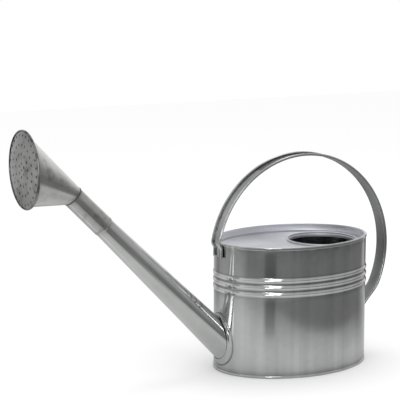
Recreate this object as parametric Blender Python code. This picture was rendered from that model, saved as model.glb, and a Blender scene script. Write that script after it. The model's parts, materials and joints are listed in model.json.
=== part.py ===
"""Galvanised watering can with an oval tank, a hoop handle, a long spout and a slip-on rose.

Run with: blender --background --python part.py

Frame: metres, +Z up, +X from the spout towards the back of the tank. The origin is at the
bottom centre of the whole can's bounding box, so the tank stands a little way along +X.
Sizes are written in millimetres and turned into metres when a mesh is made.

Every sub-part is thin sheet metal, drawn as a closed band of loops: the loops run round the
outer skin and back along the inner one.
"""

import math

import bmesh
import bpy
from mathutils import Matrix, Vector

MM = 0.001
GAP = 0.3            # clearance between two pieces that rest on each other
SHEET = 0.8          # thickness of the sheet that the can is made of
OVERSHOOT = 2.0      # how far a drill or cutter runs past the piece that it cuts

# Tank: an upright oval wall between a rolled top rim and a rolled base rim
TANK_HALF_LENGTH = 141.4
TANK_HALF_WIDTH = 103.5
TANK_HEIGHT = 225.3
RIM_PROUD = 0.9      # how far the two rims stand out from the wall
RIM_DEPTH = 4.2      # how far a rim reaches in from its outer face
TOP_RIM_HEIGHT = 5.5
BASE_RIM_HEIGHT = 4.7
RIM_ROUNDING = 0.9   # flat taken off each corner of a rim's section
OVAL_SEGMENTS = 40

# Three stiffening beads pressed out of the wall
BEAD_HEIGHTS = (144.3, 156.3, 168.3)
BEAD_HALF_HEIGHT = 4.6
BEAD_PROUD = 1.6

# Top plate with the filling hole, sunk inside the top rim
DECK_Z = 212.0
DECK_CORNER = 3.0
FILL_CENTRE = 63.5   # distance of the hole behind the tank's centre
FILL_RADIUS = 58.0
FILL_FLANGE = 6.0    # depth of the turned-down edge of the hole
LIP_RADIUS = 1.5     # the rolled ring on the edge of the hole
FLOOR_Z = 4.2        # underside of the bottom plate
SKIRT_BOTTOM = 1.0

# Spout: a long cone that leaves the front wall at 45 degrees
SPOUT_ANGLE = math.radians(45)
SPOUT_WALL_Z = 57.6  # height at which the spout's axis meets the wall
SPOUT_ROOT_RADIUS = 26.4
SPOUT_TAPER = 0.0302
SPOUT_LENGTH = 373.0
SPOUT_SEGMENTS = 32
ROOT_BURIED = 60.0   # the cone is drawn this far into the tank, then cut back to the wall

# Collar round the spout's root
COLLAR_HEIGHT = 5.0
COLLAR_HEEL = 1.1    # root radii below the axis, where the cone is widest inside the collar
COLLAR_FLANGE_UP = 31.8
COLLAR_FLANGE_SIDE = 33.6
SOLDER_WIDTH = 1.2

# Rose: a sleeve that slips over the spout's tip, an oblique cone and a domed face
NECK_ALONG = 379.2   # distance of the rose's neck from the wall, along the spout
SLEEVE_LENGTH = 76.0
BAND_LENGTH = 4.0
SLEEVE_NECK_RADIUS = 17.7
CONE_SEGMENTS = 32
FACE_CENTRE_X = -491.5
FACE_CENTRE_Z = 374.0
FACE_RADIUS = 63.6
FACE_DOME = 4.5
DOME_RADII = (50.0, 26.0)   # where the face's facets bend, inside its edge
CONE_SHEET = 0.7
ROSE_LIP = 2.0       # how far the rose's rim reaches in over the face
ROSE_HEM = 3.6       # width of the cone's flat hem, which the rim folds round
FACE_FIRST_RING = 11.0
FACE_RING_PITCH = 14.8
FACE_RINGS = 4
FACE_FIRST_COUNT = 6
FACE_COUNT_STEP = 7
FACE_HOLE_RADIUS = 1.1
FACE_HOLE_SIDES = 6

# Handle: a strap with both edges rolled outwards, bent to a hoop and riveted at both ends
HOOP_CENTRE_X = 20.7
HOOP_CENTRE_Z = 195.6
HOOP_RADIUS = 173.6  # to the outside of the rolled edges
STRAP_WIDTH = 29.6
STRAP_DEPTH = 4.6
STRAP_SEGMENTS = 24
CURL_STEP = 48       # degrees between the points of a rolled edge
CURL_POINTS = 6
FRONT_BEND_Z = 226.0
FRONT_TAB_TOP = 214.0
FRONT_TAB_END = 201.0
FRONT_PULL = 5.0     # how stiffly the strap leaves the front tab and meets the hoop
REAR_BEND_X = 175.0
REAR_TAB_TOP = 80.0
REAR_TAB_END = 52.0
REAR_HOOP_PULL = 18.0
REAR_TAB_PULL = 14.0
FRONT_RIVETS = (211.4, 204.6)
REAR_RIVETS = (71.0, 60.0)
RIVET_RADIUS = 1.6
RIVET_HEAD_RADIUS = 2.9
RIVET_HEAD = 1.3
RIVET_SIDES = 8
LIP_SIDES = 8

# The can reaches from the dome of the rose to the back of the hoop, and the origin is halfway
CAN_FRONT = FACE_CENTRE_X - FACE_DOME
CAN_BACK = HOOP_CENTRE_X + HOOP_RADIUS
TANK_X = -(CAN_FRONT + CAN_BACK) / 2

UP = Vector((0, 0, 1))
SIDE = Vector((0, 1, 0))
SPOUT_DIRECTION = Vector((-math.cos(SPOUT_ANGLE), 0, math.sin(SPOUT_ANGLE)))
SPOUT_UPWARD = Vector((math.sin(SPOUT_ANGLE), 0, math.cos(SPOUT_ANGLE)))
SPOUT_START = Vector((-TANK_HALF_LENGTH, 0, SPOUT_WALL_Z))
HOOP_CENTRE = Vector((HOOP_CENTRE_X, 0, HOOP_CENTRE_Z))

# Colour (linear), roughness of each finish; all of it is metal
FINISHES = {
    "zinc_body": ((0.52, 0.53, 0.54), 0.34),
    "zinc_handle": ((0.42, 0.43, 0.44), 0.40),
    "zinc_spout": ((0.50, 0.51, 0.52), 0.36),
    "zinc_rose": ((0.46, 0.47, 0.48), 0.42),
    "rivet_steel": ((0.48, 0.48, 0.49), 0.38),
    "solder": ((0.40, 0.41, 0.42), 0.50),
}


# ---------------------------------------------------------------- helpers

def clear_scene():
    for thing in list(bpy.data.objects):
        bpy.data.objects.remove(thing, do_unlink=True)


def finish_material(name):
    """One metal finish, made once and shared by the pieces that have it."""
    material = bpy.data.materials.get(name)
    if material:
        return material
    colour, roughness = FINISHES[name]
    material = bpy.data.materials.new(name)
    material.use_nodes = True
    shader = material.node_tree.nodes["Principled BSDF"]
    shader.inputs["Base Color"].default_value = (*colour, 1)
    shader.inputs["Metallic"].default_value = 1
    shader.inputs["Roughness"].default_value = roughness
    return material


def add_empty(name, location, rotation=None):
    """A guide on the tank's axis or on a joint's axis; locations in the tank's own millimetres."""
    empty = bpy.data.objects.new(name, None)
    bpy.context.scene.collection.objects.link(empty)
    empty.empty_display_size = 0.05
    placed = Matrix.Translation((Vector(location) + Vector((TANK_X, 0, 0))) * MM)
    if rotation:
        placed = placed @ rotation.to_matrix().to_4x4()
    empty.matrix_world = placed
    return empty


def add_object(name, bm, parent):
    """Turn a bmesh drawn in the tank's millimetres into an object under its guide."""
    bmesh.ops.recalc_face_normals(bm, faces=bm.faces)
    local = parent.matrix_world.inverted() @ Matrix.Translation((TANK_X * MM, 0, 0)) @ Matrix.Scale(MM, 4)
    bm.transform(local)
    mesh = bpy.data.meshes.new(name)
    bm.to_mesh(mesh)
    bm.free()
    mesh.shade_smooth()
    mesh.set_sharp_from_angle(angle=math.radians(35))
    thing = bpy.data.objects.new(name, mesh)
    thing.parent = parent
    bpy.context.scene.collection.objects.link(thing)
    return thing


def skin(loops, closed_band=False, capped=False):
    """A surface through loops of equally many points, each loop closed on itself."""
    bm = bmesh.new()
    rings = [[bm.verts.new(point) for point in loop] for loop in loops]
    pairs = list(zip(rings, rings[1:]))
    if closed_band:
        pairs.append((rings[-1], rings[0]))
    for lower, upper in pairs:
        count = len(lower)
        for i in range(count):
            j = (i + 1) % count
            bm.faces.new((lower[i], lower[j], upper[j], upper[i]))
    if capped:
        bm.faces.new(rings[0])
        bm.faces.new(list(reversed(rings[-1])))
    return bm


def add_piece(name, finish, bm, parent):
    piece = add_object(name, bm, parent)
    piece.data.materials.append(finish_material(finish))
    return piece


def cut(piece, cutter):
    """Take a cutter away from a piece, and keep the cutter as a hidden guide."""
    cutter.hide_render = True
    cutter.display_type = "WIRE"
    boolean = piece.modifiers.new("cut_" + cutter.name, "BOOLEAN")
    boolean.operation = "DIFFERENCE"
    boolean.solver = "EXACT"
    boolean.object = cutter


# ---------------------------------------------------------------- curves of the design

def oval(inset, z):
    """The tank's plan at a height, moved in from the wall's outer face by the inset."""
    length = TANK_HALF_LENGTH - inset
    width = TANK_HALF_WIDTH - inset
    turns = [2 * math.pi * i / OVAL_SEGMENTS for i in range(OVAL_SEGMENTS)]
    return [Vector((length * math.cos(t), width * math.sin(t), z)) for t in turns]


def spout_ring(along, radius):
    """A circle square to the spout's axis, at a distance along it from the wall."""
    centre = SPOUT_START + SPOUT_DIRECTION * along
    turns = [2 * math.pi * i / SPOUT_SEGMENTS for i in range(SPOUT_SEGMENTS)]
    return [centre + SPOUT_UPWARD * radius * math.cos(t) + SIDE * radius * math.sin(t) for t in turns]


def spout_radius(along):
    return SPOUT_ROOT_RADIUS - SPOUT_TAPER * along


def on_wall(point, proud):
    """Slide a point along the spout's direction until it is just proud of the front wall."""
    length = TANK_HALF_LENGTH + proud
    width = TANK_HALF_WIDTH + proud
    x_on_wall = -length * math.sqrt(1 - (point.y / width) ** 2)
    return point + SPOUT_DIRECTION * ((x_on_wall - point.x) / SPOUT_DIRECTION.x)


def wall_ring(up, side, proud):
    """The outline that an oval tube along the spout's axis leaves on the front wall."""
    turns = [2 * math.pi * i / SPOUT_SEGMENTS for i in range(SPOUT_SEGMENTS)]
    tube = [SPOUT_START + SPOUT_UPWARD * up * math.cos(t) + SIDE * side * math.sin(t) for t in turns]
    return [on_wall(point, proud) for point in tube]


def hoop_point(radius, z, side):
    """The point of the hoop's circle at a height, in front of (-1) or behind (+1) its centre."""
    rise = z - HOOP_CENTRE_Z
    return HOOP_CENTRE + Vector((side * math.sqrt(radius ** 2 - rise ** 2), 0, rise))


def blend_curve(start, start_pull, end, end_pull, count):
    """Points between two places, leaving and arriving along the given pulls."""
    points = []
    for i in range(1, count):
        t = i / count
        a = (1 - t) ** 3
        b = 3 * t * (1 - t) ** 2
        c = 3 * t * t * (1 - t)
        d = t ** 3
        points.append(start * a + (start + start_pull) * b + (end - end_pull) * c + end * d)
    return points


def strap_route():
    """The strap's inner face along its middle: up the front tab, over the hoop, down the rear tab."""
    inner = HOOP_RADIUS - STRAP_DEPTH
    face = TANK_HALF_LENGTH + GAP
    front_end = Vector((-face, 0, FRONT_TAB_END))
    front_top = Vector((-face, 0, FRONT_TAB_TOP))
    front_bend = hoop_point(inner, FRONT_BEND_Z, -1)
    rear_drop = -math.sqrt(inner ** 2 - (REAR_BEND_X - HOOP_CENTRE_X) ** 2)
    rear_bend = Vector((REAR_BEND_X, 0, HOOP_CENTRE_Z + rear_drop))
    rear_top = Vector((face, 0, REAR_TAB_TOP))
    rear_end = Vector((face, 0, REAR_TAB_END))

    first = math.atan2(front_bend.z - HOOP_CENTRE_Z, front_bend.x - HOOP_CENTRE_X)
    last = math.atan2(rear_bend.z - HOOP_CENTRE_Z, rear_bend.x - HOOP_CENTRE_X)
    turns = [first + (last - first) * i / STRAP_SEGMENTS for i in range(STRAP_SEGMENTS + 1)]
    hoop = [HOOP_CENTRE + Vector((math.cos(t), 0, math.sin(t))) * inner for t in turns]

    rear_heading = Vector((math.sin(last), 0, -math.cos(last)))
    front_curve = blend_curve(front_top, UP * FRONT_PULL, front_bend, UP * FRONT_PULL, 4)
    rear_curve = blend_curve(rear_bend, rear_heading * REAR_HOOP_PULL, rear_top, -UP * REAR_TAB_PULL, 6)
    return [front_end, front_top, *front_curve, *hoop, *rear_curve, rear_top, rear_end]


def strap_section():
    """Half-turned outline of the strap: (across, outward) from the middle of its inner face."""
    outer = STRAP_DEPTH / 2
    inner = outer - SHEET
    roll = STRAP_WIDTH / 2 - outer
    bend = [math.radians(-90 + CURL_STEP * i) for i in range(CURL_POINTS)]
    outside = [(roll + outer * math.cos(t), outer + outer * math.sin(t)) for t in bend]
    inside = [(roll + inner * math.cos(t), outer + inner * math.sin(t)) for t in reversed(bend)]
    right = outside + inside
    left = [(-across, outward) for across, outward in reversed(right)]
    return right + left


def frames_along(route):
    """For each point of a route in the XZ plane, the direction that faces away from the can."""
    outward = []
    for i in range(len(route)):
        before = route[max(i - 1, 0)]
        after = route[min(i + 1, len(route) - 1)]
        heading = (after - before).normalized()
        outward.append(Vector((-heading.z, 0, heading.x)))
    return outward


# ---------------------------------------------------------------- tank

def build_wall(tank):
    """The oval wall, open at both ends, with its three beads."""
    bottom = BASE_RIM_HEIGHT + GAP
    top = TANK_HEIGHT - TOP_RIM_HEIGHT - GAP
    profile = [(0, bottom)]
    for height in BEAD_HEIGHTS:
        profile.append((0, height - BEAD_HALF_HEIGHT))
        profile.append((-BEAD_PROUD, height - BEAD_HALF_HEIGHT / 3))
        profile.append((-BEAD_PROUD, height + BEAD_HALF_HEIGHT / 3))
        profile.append((0, height + BEAD_HALF_HEIGHT))
    profile.append((0, top))
    outside = [oval(inset, z) for inset, z in profile]
    inside = [oval(inset + SHEET, z) for inset, z in reversed(profile)]
    wall = add_piece("tank_wall", "zinc_body", skin(outside + inside, closed_band=True), tank)

    hole = [spout_ring(along, SPOUT_ROOT_RADIUS - SHEET) for along in (-ROOT_BURIED, ROOT_BURIED)]
    cut(wall, add_object("cut_spout_hole", skin(hole, capped=True), tank))
    for end, heights in ((-1, FRONT_RIVETS), (1, REAR_RIVETS)):
        for number, height in enumerate(heights, 1):
            centre = Vector((end * TANK_HALF_LENGTH, 0, height))
            name = f"cut_wall_rivet_{'front' if end < 0 else 'rear'}_{number}"
            cut(wall, add_object(name, rivet_hole(centre), tank))


def build_rims(tank):
    """The rolled rims: rings of a rounded box section that cap the wall above and below."""
    rims = (
        ("base_rim", 0, BASE_RIM_HEIGHT),
        ("top_rim", TANK_HEIGHT - TOP_RIM_HEIGHT, TANK_HEIGHT),
    )
    for name, low, high in rims:
        outer = -RIM_PROUD
        inner = RIM_DEPTH - RIM_PROUD
        section = [
            (outer, low + RIM_ROUNDING),
            (outer, high - RIM_ROUNDING),
            (outer + RIM_ROUNDING, high),
            (inner - RIM_ROUNDING, high),
            (inner, high - RIM_ROUNDING),
            (inner, low + RIM_ROUNDING),
            (inner - RIM_ROUNDING, low),
            (outer + RIM_ROUNDING, low),
        ]
        loops = [oval(inset, z) for inset, z in section]
        add_piece(name, "zinc_body", skin(loops, closed_band=True), tank)


def build_bottom_plate(tank):
    """A shallow pan that closes the tank, with its skirt down inside the base rim."""
    skirt = RIM_DEPTH - RIM_PROUD + GAP
    loops = [
        oval(skirt + SHEET, SKIRT_BOTTOM),
        oval(skirt, SKIRT_BOTTOM),
        oval(skirt, FLOOR_Z + SHEET),
    ]
    inner = oval(skirt + SHEET, FLOOR_Z)
    bm = skin([inner, *loops], capped=True)
    add_piece("bottom_plate", "zinc_body", bm, tank)


def fill_circle(radius, z):
    """A circle round the filling hole, with one point for each point of the oval."""
    turns = [2 * math.pi * i / OVAL_SEGMENTS for i in range(OVAL_SEGMENTS)]
    return [Vector((FILL_CENTRE + radius * math.cos(t), radius * math.sin(t), z)) for t in turns]


def build_top_plate(tank):
    """The sunk deck: a wall inside the top rim, a flat plate, and the hole's turned-down edge."""
    rim = RIM_DEPTH - RIM_PROUD + GAP
    top = TANK_HEIGHT - GAP
    hole = FILL_RADIUS
    upper = [
        oval(rim + SHEET, top),
        oval(rim + SHEET, DECK_Z + DECK_CORNER),
        oval(rim + SHEET + DECK_CORNER, DECK_Z),
        fill_circle(hole + SHEET, DECK_Z),
        fill_circle(hole, DECK_Z - SHEET),
        fill_circle(hole, DECK_Z - FILL_FLANGE),
    ]
    lower = [
        fill_circle(hole + SHEET, DECK_Z - FILL_FLANGE),
        fill_circle(hole + SHEET, DECK_Z - SHEET),
        oval(rim + DECK_CORNER, DECK_Z - SHEET),
        oval(rim, DECK_Z + DECK_CORNER - SHEET),
        oval(rim, top),
    ]
    add_piece("top_plate", "zinc_body", skin(upper + lower, closed_band=True), tank)


def build_fill_lip(tank):
    """The rolled ring that lies on the deck round the edge of the filling hole."""
    middle = FILL_RADIUS + SHEET + LIP_RADIUS
    half_side = math.pi / LIP_SIDES
    turns = [2 * math.pi * i / LIP_SIDES + half_side for i in range(LIP_SIDES)]
    height = DECK_Z + GAP + LIP_RADIUS * math.cos(half_side)
    loops = [fill_circle(middle + LIP_RADIUS * math.cos(t), height + LIP_RADIUS * math.sin(t)) for t in turns]
    add_piece("fill_lip", "zinc_body", skin(loops, closed_band=True), tank)


# ---------------------------------------------------------------- spout

def build_spout(tank, spout_axis):
    """The long cone, cut back to the curve of the tank's front wall."""
    stations = (-ROOT_BURIED, SPOUT_LENGTH)
    outside = [spout_ring(along, spout_radius(along)) for along in stations]
    inside = [spout_ring(along, spout_radius(along) - SHEET) for along in reversed(stations)]
    tube = add_piece("spout_tube", "zinc_spout", skin(outside + inside, closed_band=True), spout_axis)
    tank_shape = [oval(-GAP, -ROOT_BURIED), oval(-GAP, TANK_HEIGHT)]
    cut(tube, add_object("cut_tank_shape", skin(tank_shape, capped=True), tank))


def build_collar(spout_axis):
    """The flanged collar that holds the spout's root to the wall, and the solder round it."""
    heel = -COLLAR_HEEL * SPOUT_ROOT_RADIUS
    bore = spout_radius(heel) + GAP
    neck = bore + SHEET
    flange_top = GAP + SHEET
    raised = [point + SPOUT_DIRECTION * COLLAR_HEIGHT for point in wall_ring(neck, neck, flange_top)]
    raised_inner = [point + SPOUT_DIRECTION * COLLAR_HEIGHT for point in wall_ring(bore, bore, flange_top)]
    loops = [
        wall_ring(bore, bore, GAP),
        wall_ring(COLLAR_FLANGE_UP, COLLAR_FLANGE_SIDE, GAP),
        wall_ring(COLLAR_FLANGE_UP, COLLAR_FLANGE_SIDE, flange_top),
        wall_ring(neck + SHEET, neck + SHEET, flange_top),
        raised,
        raised_inner,
    ]
    add_piece("spout_collar", "zinc_spout", skin(loops, closed_band=True), spout_axis)

    up = COLLAR_FLANGE_UP + GAP
    side = COLLAR_FLANGE_SIDE + GAP
    fillet = [
        wall_ring(up, side, GAP),
        wall_ring(up + SOLDER_WIDTH, side + SOLDER_WIDTH, GAP),
        wall_ring(up, side, flange_top),
    ]
    add_piece("spout_solder", "solder", skin(fillet, closed_band=True), spout_axis)


# ---------------------------------------------------------------- rose

def sleeve_start():
    return NECK_ALONG - SLEEVE_LENGTH


def sleeve_bore(along):
    """Inner radius of the sleeve: it just clears the spout at its mouth, and less tightly above."""
    mouth = spout_radius(sleeve_start()) + GAP
    neck = SLEEVE_NECK_RADIUS - CONE_SHEET
    return mouth + (neck - mouth) * (along - sleeve_start()) / SLEEVE_LENGTH


def build_sleeve(rose_axis):
    """The slip-on sleeve, and the turned hem that stiffens its mouth."""
    start = sleeve_start()
    hem = (start, start + BAND_LENGTH)
    outside = [spout_ring(along, sleeve_bore(along) + 2 * CONE_SHEET) for along in hem]
    inside = [spout_ring(along, sleeve_bore(along)) for along in reversed(hem)]
    add_piece("rose_hem", "zinc_rose", skin(outside + inside, closed_band=True), rose_axis)

    body = (start + BAND_LENGTH + GAP, NECK_ALONG - GAP)
    outside = [spout_ring(along, sleeve_bore(along) + CONE_SHEET) for along in body]
    inside = [spout_ring(along, sleeve_bore(along)) for along in reversed(body)]
    add_piece("rose_sleeve", "zinc_rose", skin(outside + inside, closed_band=True), rose_axis)

    joint = SLEEVE_NECK_RADIUS + GAP
    solder = [
        spout_ring(NECK_ALONG - SOLDER_WIDTH, joint),
        spout_ring(NECK_ALONG, joint + SOLDER_WIDTH / 2),
        spout_ring(NECK_ALONG + SOLDER_WIDTH / 2, joint + SOLDER_WIDTH / 2),
    ]
    add_piece("rose_neck_solder", "solder", skin(solder, closed_band=True), rose_axis)


def face_ring(radius, forward):
    """A circle of the rose's upright face, moved forward of the plane of its rim."""
    centre = Vector((FACE_CENTRE_X - forward, 0, FACE_CENTRE_Z))
    turns = [2 * math.pi * i / CONE_SEGMENTS for i in range(CONE_SEGMENTS)]
    return [centre + UP * radius * math.cos(t) + SIDE * radius * math.sin(t) for t in turns]


def dome_forward(radius):
    """Height of the domed face in front of its rim: flat in the middle, steeper at the edge."""
    return FACE_DOME * (1 - (radius / FACE_RADIUS) ** 3)


def build_cone(rose_axis):
    """The oblique cone between the neck, square to the spout, and the upright rim."""
    edge = FACE_RADIUS - CONE_SHEET - GAP
    start = NECK_ALONG + GAP
    front = -CONE_SHEET - GAP
    loops = [
        spout_ring(start, SLEEVE_NECK_RADIUS),
        face_ring(edge - ROSE_HEM, front - CONE_SHEET),
        face_ring(edge, front - CONE_SHEET),
        face_ring(edge, front),
        face_ring(edge - ROSE_HEM - CONE_SHEET, front),
        spout_ring(start, SLEEVE_NECK_RADIUS - CONE_SHEET),
    ]
    add_piece("rose_cone", "zinc_rose", skin(loops, closed_band=True), rose_axis)


def face_hole_places():
    """Centres of the spray holes: a middle hole and rings that each have seven more than the last."""
    places = [(0.0, 0.0)]
    for ring in range(FACE_RINGS):
        radius = FACE_FIRST_RING + FACE_RING_PITCH * ring
        count = FACE_FIRST_COUNT + FACE_COUNT_STEP * ring
        for i in range(count):
            turn = 2 * math.pi * i / count
            places.append((radius * math.sin(turn), radius * math.cos(turn)))
    return places


def build_face(rose_axis):
    """The perforated domed face, drilled from the front."""
    edge = FACE_RADIUS - CONE_SHEET - GAP
    radii = [edge, edge - ROSE_LIP, *DOME_RADII]
    front = [face_ring(radius, dome_forward(radius)) for radius in radii]
    back = [face_ring(radius, dome_forward(radius) - CONE_SHEET) for radius in reversed(radii)]
    plate = add_piece("rose_face", "zinc_rose", skin(back + front, capped=True), rose_axis)

    bits = bmesh.new()
    for across, up in face_hole_places():
        centre = Vector((FACE_CENTRE_X, across, FACE_CENTRE_Z + up))
        ends = []
        for x in (-FACE_DOME - OVERSHOOT, OVERSHOOT):
            ring = []
            for i in range(FACE_HOLE_SIDES):
                turn = 2 * math.pi * i / FACE_HOLE_SIDES
                across_hole = FACE_HOLE_RADIUS * math.cos(turn)
                up_hole = FACE_HOLE_RADIUS * math.sin(turn)
                ring.append(bits.verts.new(centre + Vector((x, across_hole, up_hole))))
            ends.append(ring)
        near, far = ends
        for i in range(FACE_HOLE_SIDES):
            j = (i + 1) % FACE_HOLE_SIDES
            bits.faces.new((near[i], near[j], far[j], far[i]))
        bits.faces.new(near)
        bits.faces.new(list(reversed(far)))
    cut(plate, add_object("cut_spray_holes", bits, rose_axis))


def build_rose_rim(rose_axis):
    """The crimped ring that grips the edges of the cone and of the face."""
    inner = FACE_RADIUS - CONE_SHEET
    lip = inner - ROSE_LIP
    hem = inner - ROSE_HEM
    front = dome_forward(lip) + GAP
    back = -2 * (CONE_SHEET + GAP)
    loops = [
        face_ring(hem, back - CONE_SHEET),
        face_ring(FACE_RADIUS - CONE_SHEET / 2, back - CONE_SHEET),
        face_ring(FACE_RADIUS, back),
        face_ring(FACE_RADIUS, front),
        face_ring(FACE_RADIUS - CONE_SHEET / 2, front + CONE_SHEET),
        face_ring(lip, front + CONE_SHEET),
        face_ring(lip, front),
        face_ring(inner, dome_forward(inner) + GAP),
        face_ring(inner, back),
        face_ring(hem, back),
    ]
    add_piece("rose_rim", "zinc_rose", skin(loops, closed_band=True), rose_axis)


# ---------------------------------------------------------------- handle

def rivet_hole(centre):
    """A drill for a rivet that lies along X."""
    turns = [2 * math.pi * i / RIVET_SIDES for i in range(RIVET_SIDES)]
    radius = RIVET_RADIUS + GAP
    loops = [
        [centre + Vector((x, radius * math.cos(t), radius * math.sin(t))) for t in turns]
        for x in (-STRAP_DEPTH - OVERSHOOT, STRAP_DEPTH + OVERSHOOT)
    ]
    return skin(loops, capped=True)


def build_rivet(name, centre, outward, tank):
    """A round-headed rivet: the head outside the strap, the shank, and the upset end in the tank."""
    grip_out = GAP + SHEET + GAP
    grip_in = -SHEET - GAP
    profile = [
        (RIVET_HEAD_RADIUS * 0.5, grip_out + RIVET_HEAD),
        (RIVET_HEAD_RADIUS * 0.85, grip_out + RIVET_HEAD * 0.65),
        (RIVET_HEAD_RADIUS, grip_out),
        (RIVET_RADIUS, grip_out),
        (RIVET_RADIUS, grip_in),
        (RIVET_HEAD_RADIUS, grip_in),
        (RIVET_HEAD_RADIUS * 0.7, grip_in - RIVET_HEAD * 0.8),
    ]
    turns = [2 * math.pi * i / RIVET_SIDES for i in range(RIVET_SIDES)]
    loops = [
        [centre + Vector((outward * reach, radius * math.cos(t), radius * math.sin(t))) for t in turns]
        for radius, reach in profile
    ]
    add_piece(name, "rivet_steel", skin(loops, capped=True), tank)


def build_handle(tank):
    """The hooped strap and the four rivets that hold its two tabs to the wall."""
    route = strap_route()
    section = strap_section()
    loops = []
    for point, outward in zip(route, frames_along(route)):
        loops.append([point + SIDE * across + outward * out for across, out in section])
    strap = add_piece("handle_strap", "zinc_handle", skin(loops, capped=True), tank)

    for end, label, heights in ((-1, "front", FRONT_RIVETS), (1, "rear", REAR_RIVETS)):
        for number, height in enumerate(heights, 1):
            centre = Vector((end * TANK_HALF_LENGTH, 0, height))
            cut(strap, add_object(f"cut_strap_rivet_{label}_{number}", rivet_hole(centre), tank))
            build_rivet(f"handle_rivet_{label}_{number}", centre, end, tank)


# ---------------------------------------------------------------- the whole can

def build_can():
    clear_scene()
    along_spout = SPOUT_DIRECTION.to_track_quat("Z", "Y")
    tank = add_empty("tank_axis", (0, 0, 0))
    spout_axis = add_empty("spout_axis", SPOUT_START, along_spout)
    rose_axis = add_empty("rose_axis", SPOUT_START + SPOUT_DIRECTION * NECK_ALONG, along_spout)
    bpy.context.view_layer.update()

    build_wall(tank)
    build_rims(tank)
    build_bottom_plate(tank)
    build_top_plate(tank)
    build_fill_lip(tank)
    build_spout(tank, spout_axis)
    build_collar(spout_axis)
    build_sleeve(rose_axis)
    build_cone(rose_axis)
    build_face(rose_axis)
    build_rose_rim(rose_axis)
    build_handle(tank)
    bpy.context.view_layer.update()


build_can()
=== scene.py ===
"""Looks of the galvanised watering can: fine sheet-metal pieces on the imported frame.

Shapes are drawn in millimetres from the tank's centre on the floor, and moved to the frame's
metres when a mesh is made. Each piece stands for one CAD node and rides on that node's body.
"""

import json
import math
import random

import bmesh
import bpy
from mathutils import Matrix, Vector, geometry, noise

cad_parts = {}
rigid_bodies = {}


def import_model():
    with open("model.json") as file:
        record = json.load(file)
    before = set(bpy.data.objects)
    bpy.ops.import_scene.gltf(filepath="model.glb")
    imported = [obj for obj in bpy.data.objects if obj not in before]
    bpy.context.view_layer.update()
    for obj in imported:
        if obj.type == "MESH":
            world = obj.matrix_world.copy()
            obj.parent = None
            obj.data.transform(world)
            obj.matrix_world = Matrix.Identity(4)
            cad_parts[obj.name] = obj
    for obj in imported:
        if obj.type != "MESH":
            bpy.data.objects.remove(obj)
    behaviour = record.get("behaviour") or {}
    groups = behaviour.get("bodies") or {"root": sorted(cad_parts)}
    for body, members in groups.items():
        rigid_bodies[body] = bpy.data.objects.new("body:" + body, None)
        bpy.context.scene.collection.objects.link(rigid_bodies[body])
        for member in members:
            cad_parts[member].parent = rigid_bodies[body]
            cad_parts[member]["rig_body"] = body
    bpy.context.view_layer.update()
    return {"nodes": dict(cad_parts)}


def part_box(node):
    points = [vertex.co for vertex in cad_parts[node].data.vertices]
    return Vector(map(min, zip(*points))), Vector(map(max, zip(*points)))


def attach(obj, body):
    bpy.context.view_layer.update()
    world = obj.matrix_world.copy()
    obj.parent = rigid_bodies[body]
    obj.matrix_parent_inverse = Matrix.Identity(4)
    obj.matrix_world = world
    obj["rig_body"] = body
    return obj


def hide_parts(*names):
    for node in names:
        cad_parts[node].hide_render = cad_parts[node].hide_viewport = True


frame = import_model()

MM = 0.001


def node_box(name):
    """A CAD node's lowest and highest corners in millimetres."""
    low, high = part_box(name)
    return low / MM, high / MM


# -------- sizes, in millimetres

WALL_LOW, WALL_HIGH = node_box("tank_wall")
TOP_RIM_LOW, TOP_RIM_HIGH = node_box("top_rim")
BASE_RIM_LOW, BASE_RIM_HIGH = node_box("base_rim")
PLATE_LOW, PLATE_HIGH = node_box("bottom_plate")
DECK_LOW, DECK_HIGH = node_box("top_plate")
LIP_LOW, LIP_HIGH = node_box("fill_lip")
STRAP_LOW, STRAP_HIGH = node_box("handle_strap")
ROSE_RIM_LOW, ROSE_RIM_HIGH = node_box("rose_rim")
FACE_LOW, FACE_HIGH = node_box("rose_face")

GAP = 0.3  # clearance between two pieces that rest on each other
SHEET = 0.8  # thickness of the can's sheet
TANK_X = (TOP_RIM_LOW.x + TOP_RIM_HIGH.x) / 2

# Tank
BEAD_PROUD = 1.6
HALF_LENGTH = (WALL_HIGH.x - WALL_LOW.x) / 2 - BEAD_PROUD
HALF_WIDTH = (WALL_HIGH.y - WALL_LOW.y) / 2 - BEAD_PROUD
TANK_HEIGHT = TOP_RIM_HIGH.z
RIM_PROUD = (TOP_RIM_HIGH.x - TOP_RIM_LOW.x) / 2 - HALF_LENGTH
RIM_DEPTH = 4.2
BEAD_HEIGHTS = (144.3, 156.3, 168.3)
BEAD_HALF_HEIGHT = 5.0
OVAL_SEGMENTS = 256
RIM_ROUNDING = 1.5
RIPPLE_FADE = 12.0  # distance from a rim over which the wall's ripples die out
LAP_TURN = math.radians(181.5)
LAP_STEP = 0.55  # step down from the outer end of the wall's sheet at its lap seam
LAP_BLEND = math.radians(14)
DECK_Z = 212.0
DECK_CORNER = 3.0
DECK_WAVE = 0.35
FILL_FLANGE = DECK_Z - DECK_LOW.z
LIP_RADIUS = 1.5
FILL_CENTRE = (LIP_LOW.x + LIP_HIGH.x) / 2 - TANK_X
FILL_RADIUS = (LIP_HIGH.y - LIP_LOW.y) / 2 - 2 * LIP_RADIUS - SHEET

# Spout, drawn from the point where its axis meets the front wall
SPOUT_WALL_Z = 57.6
SPOUT_ROOT_RADIUS = 26.4
SPOUT_TAPER = 0.0302
SPOUT_LENGTH = 373.0
SPOUT_SEGMENTS = 96
COLLAR_HEIGHT = 5.0
COLLAR_FLANGE_UP = 31.8
COLLAR_FLANGE_SIDE = 33.6
SOLDER_WIDTH = 1.2
ROOT_BURIED = 60.0  # the cone is followed this far to either side to find the wall

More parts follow.
